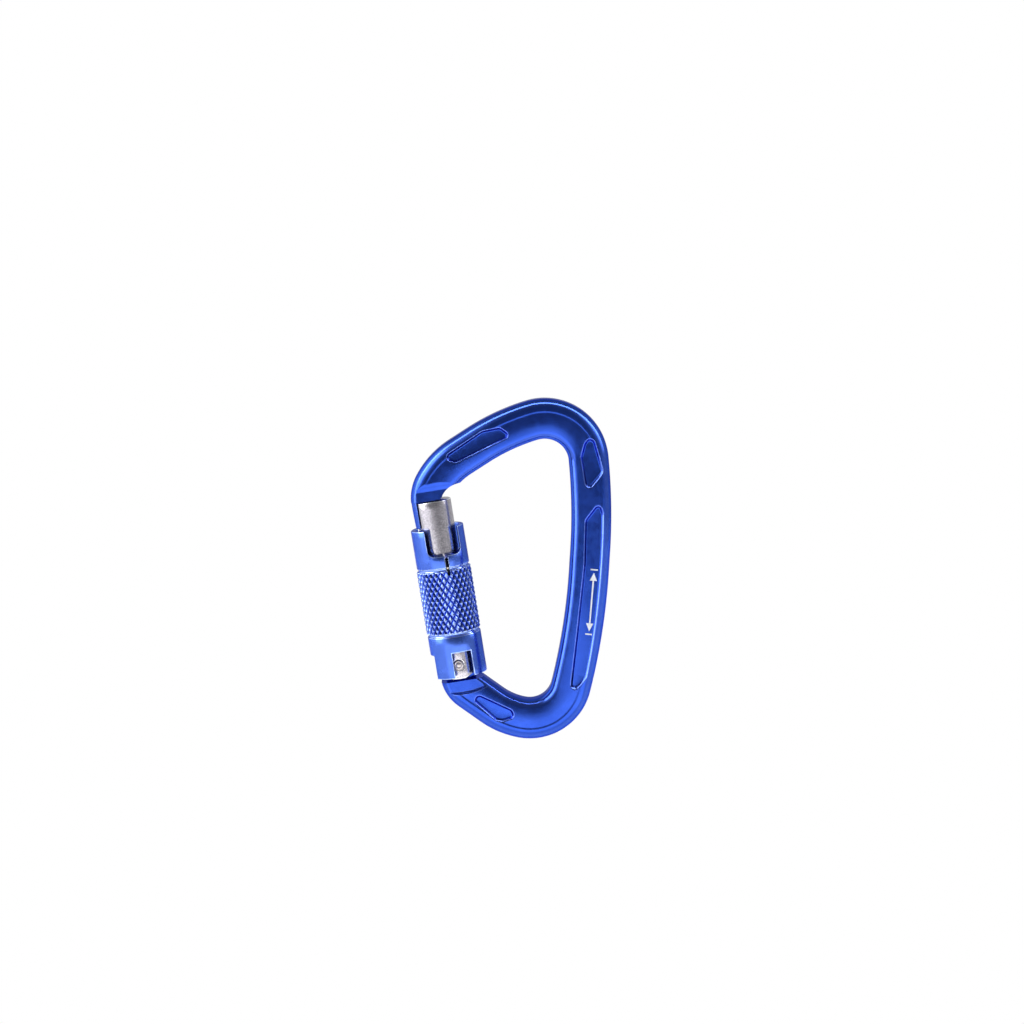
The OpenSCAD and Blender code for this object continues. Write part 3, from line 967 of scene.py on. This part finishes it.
class Nodes:
    """Short hand for building a material's or the world's node tree."""

    def __init__(self, tree):
        self.tree = tree
        tree.nodes.clear()

    def add(self, kind, inputs=None, **settings):
        """A new node, whose kind is given without the ShaderNode that each one starts with."""
        node = self.tree.nodes.new("ShaderNode" + kind)
        for key, value in settings.items():
            setattr(node, key, value)
        for key, value in (inputs or {}).items():
            self.feed(node.inputs[key], value)
        return node

    def feed(self, socket, value):
        """Links a socket to another, or sets it to a constant."""
        if isinstance(value, bpy.types.NodeSocket):
            self.tree.links.new(value, socket)
        else:
            socket.default_value = value

    def surface(self, kind, shader):
        self.feed(self.add(kind).inputs["Surface"], shader.outputs[0])

    def for_camera(self, kind, unseen, seen):
        """Shows the camera the shader seen, and lights everything else with unseen."""
        both = self.add("MixShader", {"Fac": self.add("LightPath").outputs["Is Camera Ray"]})
        self.feed(both.inputs[1], unseen.outputs[0])
        self.feed(both.inputs[2], seen.outputs[0])
        self.surface(kind, both)

    def noise(self, place, scale, detail=2.0, rough=0.5):
        return self.add("TexNoise", {"Vector": place, "Scale": scale, "Detail": detail,
                                     "Roughness": rough}).outputs["Fac"]

    def ranged(self, value, low, high, to_low, to_high, eased=False):
        node = self.add("MapRange", {"Value": value, "From Min": low, "From Max": high,
                                     "To Min": to_low, "To Max": to_high})
        if eased:
            node.interpolation_type = "SMOOTHSTEP"
        return node.outputs["Result"]

    def mix(self, share, one, other):
        node = self.add("Mix", data_type="RGBA")
        for name, value in (("Factor", share), ("A", one), ("B", other)):
            self.feed(next(s for s in node.inputs if s.name == name and s.enabled), value)
        return next(s for s in node.outputs if s.enabled)

    def maths(self, operation, one, other=0.0):
        node = self.add("Math", operation=operation)
        for socket, value in zip(node.inputs, (one, other)):
            self.feed(socket, value)
        return node.outputs[0]


def new_material(name):
    material = bpy.data.materials.new(name)
    material.use_nodes = True
    return material, Nodes(material.node_tree)


def metal(name, colour, shade, worn_and_lit, roughness, grain, edge=(1.0, 1.0, 1.0), coat=0.0,
          coat_roughness=0.1, brushed=None, scratches=0.0, speckle=0.0):
    """A metal whose colour runs from shade to colour in soft clouds, and to its worn colour where
    the mesh marks wear: real wear along edges, and painted highlight on pocket walls, step lines
    and knurl tips.
    grain is (size of the grain in mm, height of its bump in mm); brushed turns the grain into
    rings about the gate's middle line."""
    material, n = new_material(name)
    place = n.add("TexCoord").outputs["Object"]
    clouds = n.noise(place, 1 / (9 * MM), 3.0, 0.55)
    fine = n.noise(place, 1 / (grain[0] * MM), 3.0, 0.6)
    smudges = n.noise(place, 1 / (2.2 * MM), 4.0, 0.6)
    # the mesh's value of real edge wear and of painted highlight
    wear_and_highlight = n.add("Attribute", attribute_name="wear_and_highlight").outputs["Fac"]

    rgb = n.mix(n.ranged(clouds, 0.35, 0.65, 0.0, 1.0), (*shade, 1), (*colour, 1))
    if speckle:
        grit = n.noise(place, 1 / (0.36 * MM), 2.0, 0.6)
        rgb = n.mix(n.ranged(grit, 0.42, 0.60, 0.0, speckle), rgb, (*(c * 0.45 for c in shade), 1))
    rubbed_and_lit = n.maths("MULTIPLY", n.ranged(fine, 0.42, 0.7, 0.25, 1.0), wear_and_highlight)
    rgb = n.mix(rubbed_and_lit, rgb, (*worn_and_lit, 1))

    low, high = roughness
    rough = n.ranged(smudges, 0.35, 0.7, low, high)
    rough = n.maths("ADD", rough, n.ranged(fine, 0.3, 0.7, -0.02, 0.02))

    height = fine
    if brushed is not None:
        turned = n.add("Mapping", {"Vector": place, "Rotation": (0.0, math.radians(9), 0.0)},
                       vector_type="TEXTURE")
        rings = n.add("Mapping", {"Vector": turned.outputs[0], "Scale": (0.02, 0.02, 1.0)})
        lines = n.noise(rings.outputs[0], 1 / (brushed * MM), 4.0, 0.7)
        height = n.maths("ADD", n.maths("MULTIPLY", lines, 2.0), fine)
    if scratches:
        hair = n.add("Mapping", {"Vector": place, "Rotation": (0.3, 0.9, 0.4),
                                 "Scale": (1.0, 1.0, 0.03)})
        lines = n.noise(hair.outputs[0], 1 / (0.35 * MM), 2.0, 0.5)
        marks = n.ranged(lines, 0.68, 0.74, 0.0, 1.0)
        height = n.maths("SUBTRACT", height, n.maths("MULTIPLY", marks, scratches))
    bump = n.add("Bump", {"Height": height, "Strength": 1.0, "Distance": grain[1] * MM})

    shader = n.add("BsdfPrincipled", {
        "Base Color": rgb, "Roughness": rough, "Metallic": 1.0, "Specular Tint": (*edge, 1),
        "Coat Weight": coat, "Coat Roughness": coat_roughness, "Normal": bump.outputs[0]})
    n.surface("OutputMaterial", shader)
    return material


def paint(name, colour):
    """Pale laser marking, slightly broken up by the grain under it."""
    material, n = new_material(name)
    place = n.add("TexCoord").outputs["Object"]
    fine = n.noise(place, 1 / (0.12 * MM), 3.0, 0.6)
    dull = tuple(0.7 * c for c in colour)
    bump = n.add("Bump", {"Height": fine, "Strength": 1.0, "Distance": 0.01 * MM})
    shader = n.add("BsdfPrincipled", {
        "Base Color": n.mix(n.ranged(fine, 0.3, 0.6, 0.0, 1.0), (*dull, 1), (*colour, 1)),
        "Roughness": n.ranged(fine, 0.3, 0.7, 0.45, 0.65), "Normal": bump.outputs[0]})
    n.surface("OutputMaterial", shader)
    return material


BLUE_RIM = (0.22, 0.28, 0.72)  # what the anodised blue reflects at a grazing angle
BLUE = metal("blue_anodised", (0.027, 0.084, 0.51), (0.020, 0.067, 0.43), (0.24, 0.36, 0.92),
             (0.15, 0.22), (0.22, 0.0016), BLUE_RIM, coat=0.12, coat_roughness=0.10, scratches=0.5)
# A lighter copy of the anodised blue for the bevels: a painted highlight along the edges
BLUE_EDGE_HIGHLIGHT = metal("blue_edge_highlight", (0.10, 0.24, 0.85), (0.07, 0.18, 0.7), (0.3, 0.42, 0.95),
                  (0.16, 0.22), (0.22, 0.0016), BLUE_RIM, coat=0.3, coat_roughness=0.12)
SLEEVE = metal("blue_sleeve", (0.075, 0.16, 0.66), (0.055, 0.13, 0.56), (0.16, 0.32, 0.92),
               (0.22, 0.28), (0.12, 0.0012), BLUE_RIM, coat=0.3, coat_roughness=0.2, brushed=0.12)
# A much lighter copy of the sleeve's blue for its bevels: a painted highlight along the edges
SLEEVE_EDGE_HIGHLIGHT = metal("sleeve_edge_highlight", (0.42, 0.56, 0.96), (0.34, 0.47, 0.90), (0.7, 0.8, 1.0),
                    (0.14, 0.2), (0.12, 0.001), BLUE_RIM, coat=0.3, coat_roughness=0.15)
# The knurl: darker blue as painted shade in its valleys, and a light colour as painted highlight on
# its tips
KNURL_SHADE_AND_HIGHLIGHT = metal("blue_knurl_shade_and_highlight", (0.022, 0.065, 0.46), (0.014, 0.045, 0.36), (0.60, 0.76, 1.0),
              (0.12, 0.18), (0.12, 0.0012), BLUE_RIM, coat=0.2, coat_roughness=0.15)
SILVER = metal("satin_gate", (0.55, 0.52, 0.56), (0.50, 0.47, 0.51), (0.88, 0.87, 0.88),
               (0.21, 0.25), (0.26, 0.011), speckle=0.62)
# A lighter copy of the satin gate metal for its bevels: a painted highlight along the edges
SILVER_EDGE_HIGHLIGHT = metal("gate_edge_highlight", (0.9, 0.9, 0.9), (0.8, 0.8, 0.8), (1.0, 1.0, 1.0),
                    (0.2, 0.3), (0.16, 0.004))
STEEL = metal("rivet_steel", (0.58, 0.53, 0.52), (0.44, 0.40, 0.40), (0.8, 0.78, 0.76),
              (0.24, 0.34), (0.10, 0.004))
INNER_STEEL = metal("inner_steel", (0.45, 0.45, 0.47), (0.3, 0.3, 0.32), (0.6, 0.6, 0.6),
                    (0.28, 0.4), (0.15, 0.004), brushed=0.15)
COLLAR = metal("black_collar", (0.05, 0.05, 0.055), (0.03, 0.03, 0.035), (0.3, 0.3, 0.3),
               (0.28, 0.4), (0.15, 0.004), brushed=0.15)
SPRING = metal("spring_steel", (0.38, 0.38, 0.40), (0.22, 0.22, 0.24), (0.6, 0.6, 0.6),
               (0.2, 0.32), (0.1, 0.002))
BRASS = metal("bushing_brass", (0.70, 0.50, 0.22), (0.5, 0.33, 0.12), (0.85, 0.7, 0.4),
              (0.25, 0.38), (0.15, 0.003), brushed=0.15)
PIN = metal("pin_metal", (0.92, 0.82, 0.68), (0.8, 0.7, 0.55), (0.95, 0.9, 0.8),
            (0.25, 0.35), (0.1, 0.002))
MARK = paint("laser_mark", (0.82, 0.84, 0.88))

# ---------------- the pieces on their bodies


def place(obj, body, slot, *nodes):
    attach(obj, body)
    if nodes:
        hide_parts(*nodes)


place(make_body([BLUE, BLUE_EDGE_HIGHLIGHT]), "forged_body", "blue_anodised", "body")
place(make_finger([BLUE, BLUE_EDGE_HIGHLIGHT]), "forged_body", "blue_anodised")
place(make_tongue([BLUE, BLUE_EDGE_HIGHLIGHT]), "forged_body", "blue_anodised")
place(make_mark([MARK]), "forged_body", "blue_anodised")
place(make_gate([SILVER, SILVER_EDGE_HIGHLIGHT]), "gate_unit", "satin_gate", "gate")
place(make_rivet([STEEL]), "gate_unit", "rivet_steel", "gate_rivet")
place(make_plunger([INNER_STEEL]), "plunger_unit", "inner_steel", "gate_plunger")
place(make_collar([COLLAR]), "collar_unit", "inner_steel", "guide_collar")
place(make_pin([PIN]), "collar_unit", "rivet_steel", "guide_pin")
place(make_sleeve([SLEEVE, SLEEVE_EDGE_HIGHLIGHT, KNURL_SHADE_AND_HIGHLIGHT]), "sleeve_unit", "blue_sleeve", "sleeve")
bush = make_turned("sleeve_bush", tube(LAND_R, BORE_R, BUSH_FOOT, BUSH_TOP), 0.12, [BRASS])
place(bush, "sleeve_unit", "bushing_brass", "sleeve_bushing")

# node, name, radius, wire, foot, fixed top, the joint that shortens it and the share that stays
for node, name, radius, wire, low, high, joint, keep in (
        ("gate_spring", "plunger_spring", 1.5, 0.5, 16.05, 23.95, "plunger_slide", 0.894),
        ("sleeve_spring", "return_spring", 5.95, 0.75, 9.55, 26.9, "sleeve_lift", 0.885)):
    coil = make_spring(name, radius, wire, low, high, 6, [SPRING])
    place(coil, "gate_unit", "spring_steel", node)
    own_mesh(coil)

# ---------------- studio


def make_floor():
    """Pale floor, pure white to the camera."""
    size, height = 3.0, -0.6
    corners = [(x, y, height) for x, y in box_outline(-size, -size, size, size)]
    mesh = bpy.data.meshes.new("floor")
    mesh.from_pydata(corners, [], [(0, 1, 2, 3)])
    material, n = new_material("pale_floor")
    diffuse = n.add("BsdfDiffuse", {"Color": (0.85, 0.85, 0.87, 1)})
    glow = n.add("Emission", {"Color": (1, 1, 1, 1), "Strength": 1.0})
    n.for_camera("OutputMaterial", diffuse, glow)
    mesh.materials.append(material)
    floor = new_object("floor", mesh)


def make_studio():
    """White to the camera. The metal reflects a pale room with a dark front and a soft strip."""
    world = bpy.data.worlds.new("studio")
    bpy.context.scene.world = world
    world.use_nodes = True
    n = Nodes(world.node_tree)
    ray = n.add("TexCoord").outputs["Generated"]

    split = n.add("SeparateXYZ", {0: ray})
    x, y, z = (split.outputs[k] for k in range(3))
    parts = (
        (x, -0.35, -0.8, 1.15),  # pale left wall
        (x, 0.4, 0.9, 0.35),  # dimmer right one
        (z, -0.3, -0.8, 0.9),  # pale table below
        (y, 0.3, 0.9, 0.35),  # backdrop
    )
    light = n.ranged(z, -1.0, 1.0, 0.30, 0.22)
    for value, start, end, strength in parts:
        light = n.maths("ADD", light, n.ranged(value, start, end, 0.0, strength, True))
    strip = n.maths("MULTIPLY", n.ranged(n.maths("ABSOLUTE", n.maths("SUBTRACT", y, 0.02)),
                                         0.13, 0.04, 0.0, 9.0, True),
                    n.ranged(z, 0.0, 0.5, 0.0, 1.0, True))
    light = n.maths("ADD", light, strip)
    room = n.add("Background", {"Color": (0.96, 0.98, 1.0, 1), "Strength": light})
    white = n.add("Background", {"Color": (1, 1, 1, 1), "Strength": 1.0})
    n.for_camera("OutputWorld", room, white)


def make_panels():
    """Soft panels near the object: one below the lens, one at the upper left, one at the right."""
    middle = (Vector(cad_box[0]) + Vector(cad_box[1])) / 2
    left, right = Vector((-0.45, -0.14, 0.10)), Vector((0.42, -0.10, 0.22))
    for name, where, aim, size, radiance in (
            ("panel_below", (0.0, -0.40, -0.28), Vector((0.0, 1.0, 0.0)), (0.9, 0.33), 0.92),
            ("panel_left", left, middle - left, (0.30, 0.5), 3.0),
            ("panel_right", right, middle - right, (0.12, 0.4), 1.4)):
        light = bpy.data.lights.new(name, "AREA")
        light.shape = "RECTANGLE"
        light.size, light.size_y = size
        light.energy = radiance * math.pi * size[0] * size[1]
        lamp = new_object(name, light)
        lamp.location = where
        lamp.rotation_mode = "QUATERNION"
        lamp.rotation_quaternion = aim.to_track_quat("-Z", "Y")
        lamp.visible_camera = False


TARGET = (-0.01006, 0.0, -0.0220)  # metres, where the camera looks
ELEVATION, DISTANCE, LENS = 7.5, 0.9, 106.9  # degrees, metres and millimetres


def make_camera():
    """Camera straight in front and a little above."""
    above = math.radians(ELEVATION)
    away = Vector((0.0, -math.cos(above), math.sin(above)))
    data = bpy.data.cameras.new("camera")
    data.lens, data.sensor_width = LENS, 36
    camera = new_object("camera", data)
    camera.location = Vector(TARGET) + away * DISTANCE
    camera.rotation_mode = "QUATERNION"
    camera.rotation_quaternion = (-away).to_track_quat("-Z", "Y")
    bpy.context.scene.camera = camera


make_floor()
make_studio()
make_panels()
make_camera()
bpy.context.scene.view_settings.view_transform = "Standard"
